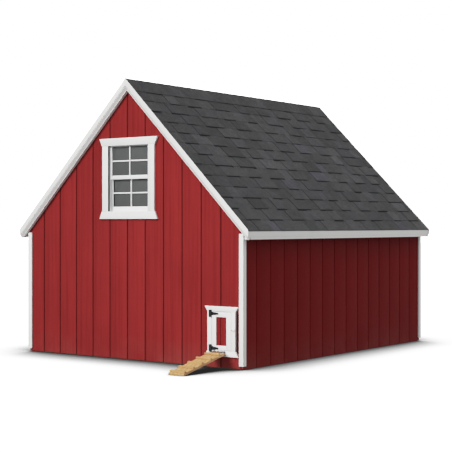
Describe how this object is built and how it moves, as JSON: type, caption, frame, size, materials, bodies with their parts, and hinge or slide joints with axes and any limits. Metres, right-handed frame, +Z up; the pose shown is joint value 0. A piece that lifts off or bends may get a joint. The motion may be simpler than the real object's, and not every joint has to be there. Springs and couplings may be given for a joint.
{
  "type": "chicken coop",
  "caption": "Walk-in chicken coop: red grooved wooden walls with white trim, steep shingled gable roof, sliding window, small hinged bird door with ramp, and a rear keeper's door.",
  "frame": {"origin": "centre of the house's footprint on the ground, on the underside of the middle floor joist", "axes": "+Z up, +Y from the front gable (window, bird door and ramp) to the rear gable (keeper's door), +X to the right-hand wall seen from the front"},
  "size_m": [2.614, 3.7064, 2.4457],
  "materials": {
    "painted_red": "satin",
    "painted_white": "satin",
    "framing_timber": "matte",
    "plywood": "matte",
    "pine": "matte",
    "asphalt_shingle": "matte",
    "window_white": "satin",
    "window_glass": "gloss",
    "black_iron": "satin",
    "zinc_steel": "satin"
  },
  "bodies": {
    "coop": {"floor_rim": "painted_red", "floor_joists": "framing_timber", "floor_deck": "plywood", "left_wall_frame": "framing_timber", "right_wall_frame": "framing_timber", "front_wall_frame": "framing_timber", "back_wall_frame": "framing_timber", "rafters": "framing_timber", "collar_ties": "framing_timber", "ridge_board": "framing_timber", "front_siding": "painted_red", "back_siding": "painted_red", "left_siding": "painted_red", "right_siding": "painted_red", "front_corner_trims": "painted_white", "back_corner_trims": "painted_white", "front_rake_boards": "painted_white", "back_rake_boards": "painted_white", "left_fascia": "painted_white", "right_fascia": "painted_white", "eave_soffits": "painted_white", "left_roof_deck": "plywood", "right_roof_deck": "plywood", "left_shingles": "asphalt_shingle", "right_shingles": "asphalt_shingle", "ridge_cap": "asphalt_shingle", "window_trim": "painted_white", "window_frame": "window_white", "upper_sash": "window_white", "upper_glass": "window_glass", "pop_door_trim": "painted_white", "pop_hinge_plates": "black_iron", "pop_hinge_pins": "black_iron", "pop_latch_screw": "zinc_steel", "ramp_hinge_bracket": "zinc_steel", "ramp_hinge_pin": "zinc_steel", "door_trim": "painted_white", "door_hinge_plates": "black_iron", "door_hinge_pins": "black_iron", "hinge_plate_screws": "black_iron", "roost_bars": "pine", "roost_cleats": "framing_timber", "nest_boxes": "plywood", "nest_perch": "pine"},
    "pop_door": {"pop_door_frame": "painted_white", "pop_door_panel": "painted_red", "pop_hinge_straps": "black_iron", "pop_strap_screws": "black_iron"},
    "pop_latch": {"pop_latch_button": "painted_white"},
    "ramp": {"ramp_board": "pine", "ramp_cleats": "pine", "ramp_hinge_eyes": "zinc_steel"},
    "sliding_sash": {"lower_sash": "window_white", "lower_glass": "window_glass"},
    "keeper_door": {"door_frame": "painted_white", "door_panel": "painted_red", "door_hinge_straps": "black_iron", "door_strap_screws": "black_iron"},
    "keeper_handle": {"door_handle": "black_iron", "door_cam": "zinc_steel"}
  },
  "joints": [
    {"name": "pop_door_hinge", "type": "hinge", "parent": "coop", "child": "pop_door", "pos_m": [0.9132, -1.548, 0.306], "axis": [0, 0, -1], "range_deg": [0, 175]},
    {"name": "pop_latch_turn", "type": "hinge", "parent": "coop", "child": "pop_latch", "pos_m": [1.127, -1.5474, 0.322], "axis": [0, -1, 0], "range_deg": [0, 180]},
    {"name": "ramp_fold", "type": "hinge", "parent": "coop", "child": "ramp", "pos_m": [0.997, -1.566, 0.141], "axis": [-1, 0, 0], "range_deg": [0, 102]},
    {"name": "window_slide", "type": "slide", "parent": "coop", "child": "sliding_sash", "axis": [0, 0, 1], "range_m": [0, 0.25]},
    {"name": "keeper_door_hinge", "type": "hinge", "parent": "coop", "child": "keeper_door", "pos_m": [-0.3825, 1.5555, 0.905], "axis": [0, 0, 1], "range_deg": [0, 150]},
    {"name": "keeper_handle_turn", "type": "hinge", "parent": "keeper_door", "child": "keeper_handle", "pos_m": [0.336, 1.549, 0.905], "axis": [0, 1, 0], "range_deg": [0, 90]}
  ]
}
